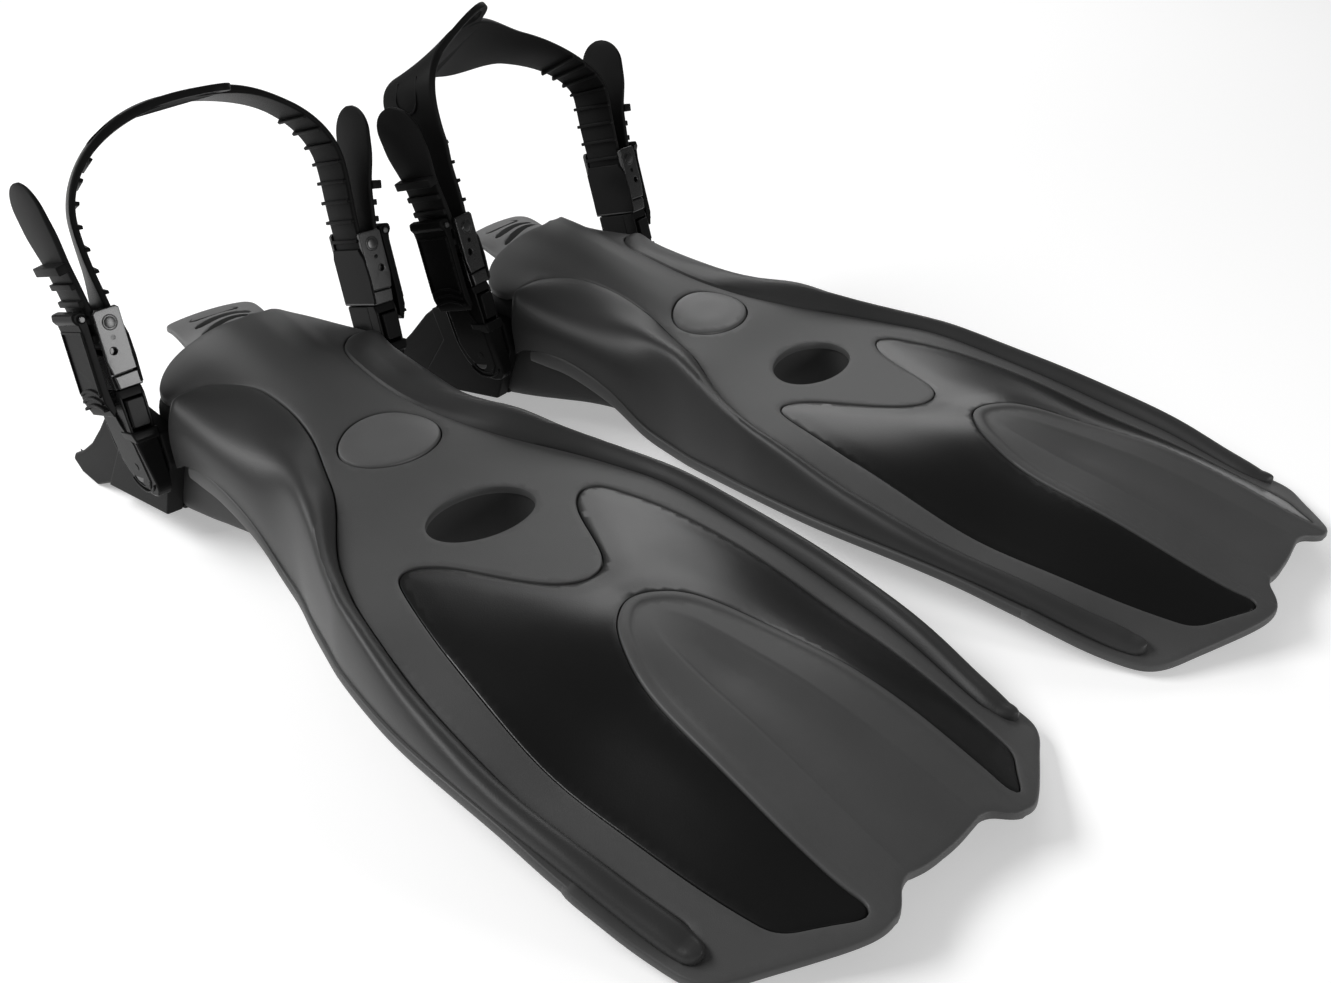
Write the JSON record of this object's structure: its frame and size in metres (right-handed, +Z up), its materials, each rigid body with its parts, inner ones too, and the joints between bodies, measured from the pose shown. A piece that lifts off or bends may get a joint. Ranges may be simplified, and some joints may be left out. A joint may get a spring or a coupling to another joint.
{
  "type": "pair of adjustable swim fins",
  "caption": "Open-heel swim fins with ribbed blades, foot pockets and swivelling quick-release ratchet buckles on adjustable heel straps.",
  "frame": {"origin": "middle of the bounding box at floor level, with both fins resting on heel and tail", "axes": "+Z up, tails towards -Y, heels towards +Y, wearer left at +X"},
  "size_m": [0.4992, 0.5852, 0.2272],
  "materials": {
    "blade_frame": "matte",
    "blade_panel": "glossy",
    "pocket_rubber": "matte",
    "tongue_rubber": "matte",
    "badge": "satin",
    "sole_plastic": "satin",
    "strap_rubber": "satin",
    "side_rail": "satin",
    "buckle_plastic": "glossy",
    "lever_plastic": "glossy",
    "pin_steel": "satin"
  },
  "bodies": {
    "right_fin": {"right_fin_blade_frame": "blade_frame", "right_fin_panel_insert": "blade_panel", "right_fin_centre_channel": "blade_frame", "right_fin_foot_pocket": "pocket_rubber", "right_fin_instep_tongue": "tongue_rubber", "right_fin_badge": "badge", "right_fin_heel_plate": "sole_plastic", "right_fin_side_rail_right": "side_rail", "right_fin_side_rail_left": "side_rail", "right_fin_mount_block_right": "buckle_plastic", "right_fin_mount_block_left": "buckle_plastic", "right_fin_pivot_stud_right": "buckle_plastic", "right_fin_pivot_stud_left": "buckle_plastic"},
    "right_arms": {"right_fin_buckle_arm_right": "buckle_plastic", "right_fin_buckle_arm_left": "buckle_plastic"},
    "right_strap": {"right_fin_heel_strap": "strap_rubber", "right_fin_receiver_right": "buckle_plastic", "right_fin_receiver_left": "buckle_plastic", "right_fin_lever_pin_right": "pin_steel", "right_fin_lever_pin_left": "pin_steel"},
    "right_lever_right": {"right_fin_ratchet_lever_right": "lever_plastic"},
    "right_roller_right": {"right_fin_strap_roller_right": "buckle_plastic"},
    "right_button_right": {"right_fin_release_button_right": "buckle_plastic"},
    "right_lever_left": {"right_fin_ratchet_lever_left": "lever_plastic"},
    "right_roller_left": {"right_fin_strap_roller_left": "buckle_plastic"},
    "right_button_left": {"right_fin_release_button_left": "buckle_plastic"},
    "left_fin": {"left_fin_blade_frame": "blade_frame", "left_fin_panel_insert": "blade_panel", "left_fin_centre_channel": "blade_frame", "left_fin_foot_pocket": "pocket_rubber", "left_fin_instep_tongue": "tongue_rubber", "left_fin_badge": "badge", "left_fin_heel_plate": "sole_plastic", "left_fin_side_rail_right": "side_rail", "left_fin_side_rail_left": "side_rail", "left_fin_mount_block_right": "buckle_plastic", "left_fin_mount_block_left": "buckle_plastic", "left_fin_pivot_stud_right": "buckle_plastic", "left_fin_pivot_stud_left": "buckle_plastic"},
    "left_arms": {"left_fin_buckle_arm_right": "buckle_plastic", "left_fin_buckle_arm_left": "buckle_plastic"},
    "left_strap": {"left_fin_heel_strap": "strap_rubber", "left_fin_receiver_right": "buckle_plastic", "left_fin_receiver_left": "buckle_plastic", "left_fin_lever_pin_right": "pin_steel", "left_fin_lever_pin_left": "pin_steel"},
    "left_lever_right": {"left_fin_ratchet_lever_right": "lever_plastic"},
    "left_roller_right": {"left_fin_strap_roller_right": "buckle_plastic"},
    "left_button_right": {"left_fin_release_button_right": "buckle_plastic"},
    "left_lever_left": {"left_fin_ratchet_lever_left": "lever_plastic"},
    "left_roller_left": {"left_fin_strap_roller_left": "buckle_plastic"},
    "left_button_left": {"left_fin_release_button_left": "buckle_plastic"}
  },
  "joints": [
    {"name": "left_fin_lift", "type": "slide", "parent": "right_fin", "child": "left_fin", "axis": [0, 0, 1], "range_m": [0, 0.15]},
    {"name": "right_strap_swing", "type": "hinge", "parent": "right_fin", "child": "right_arms", "pos_m": [-0.10385, 0.17924, 0.0435], "axis": [-0.9962, 0.0872, 0], "range_deg": [-12, 72]},
    {"name": "right_strap_release", "type": "slide", "parent": "right_arms", "child": "right_strap", "axis": [0.024, 0.2746, 0.9613], "range_m": [0, 0.03]},
    {"name": "right_lever_open_right", "type": "hinge", "parent": "right_strap", "child": "right_lever_right", "pos_m": [-0.19111, 0.20984, 0.12329], "axis": [0.0838, 0.9576, -0.2756], "range_deg": [0, 28], "stiffness_Nm_per_rad": 0.05, "springref_deg": -5.73},
    {"name": "right_roller_spin_right", "type": "hinge", "parent": "right_strap", "child": "right_roller_right", "pos_m": [-0.18005, 0.20555, 0.11175], "axis": [-0.0838, -0.9576, 0.2756], "continuous": true},
    {"name": "right_button_press_right", "type": "slide", "parent": "right_arms", "child": "right_button_right", "axis": [0.0838, 0.9576, -0.2756], "range_m": [0, 0.002], "stiffness_N_per_m": 400, "springref_m": -0.0005},
    {"name": "right_lever_open_left", "type": "hinge", "parent": "right_strap", "child": "right_lever_left", "pos_m": [-0.0126, 0.19422, 0.12329], "axis": [-0.0838, -0.9576, 0.2756], "range_deg": [0, 28], "stiffness_Nm_per_rad": 0.05, "springref_deg": -5.73},
    {"name": "right_roller_spin_left", "type": "hinge", "parent": "right_strap", "child": "right_roller_left", "pos_m": [-0.02424, 0.19192, 0.11175], "axis": [-0.0838, -0.9576, 0.2756], "continuous": true},
    {"name": "right_button_press_left", "type": "slide", "parent": "right_arms", "child": "right_button_left", "axis": [0.0838, 0.9576, -0.2756], "range_m": [0, 0.002], "stiffness_N_per_m": 400, "springref_m": -0.0005},
    {"name": "left_strap_swing", "type": "hinge", "parent": "left_fin", "child": "left_arms", "pos_m": [0.10385, 0.15924, 0.0435], "axis": [-0.9962, -0.0872, 0], "range_deg": [-12, 72]},
    {"name": "left_strap_release", "type": "slide", "parent": "left_arms", "child": "left_strap", "axis": [-0.024, 0.2746, 0.9613], "range_m": [0, 0.03]},
    {"name": "left_lever_open_right", "type": "hinge", "parent": "left_strap", "child": "left_lever_right", "pos_m": [0.0126, 0.17422, 0.12329], "axis": [-0.0838, 0.9576, -0.2756], "range_deg": [0, 28], "stiffness_Nm_per_rad": 0.05, "springref_deg": -5.73},
    {"name": "left_roller_spin_right", "type": "hinge", "parent": "left_strap", "child": "left_roller_right", "pos_m": [0.02424, 0.17192, 0.11175], "axis": [0.0838, -0.9576, 0.2756], "continuous": true},
    {"name": "left_button_press_right", "type": "slide", "parent": "left_arms", "child": "left_button_right", "axis": [-0.0838, 0.9576, -0.2756], "range_m": [0, 0.002], "stiffness_N_per_m": 400, "springref_m": -0.0005},
    {"name": "left_lever_open_left", "type": "hinge", "parent": "left_strap", "child": "left_lever_left", "pos_m": [0.19111, 0.18984, 0.12329], "axis": [0.0838, -0.9576, 0.2756], "range_deg": [0, 28], "stiffness_Nm_per_rad": 0.05, "springref_deg": -5.73},
    {"name": "left_roller_spin_left", "type": "hinge", "parent": "left_strap", "child": "left_roller_left", "pos_m": [0.18005, 0.18555, 0.11175], "axis": [0.0838, -0.9576, 0.2756], "continuous": true},
    {"name": "left_button_press_left", "type": "slide", "parent": "left_arms", "child": "left_button_left", "axis": [-0.0838, 0.9576, -0.2756], "range_m": [0, 0.002], "stiffness_N_per_m": 400, "springref_m": -0.0005}
  ]
}
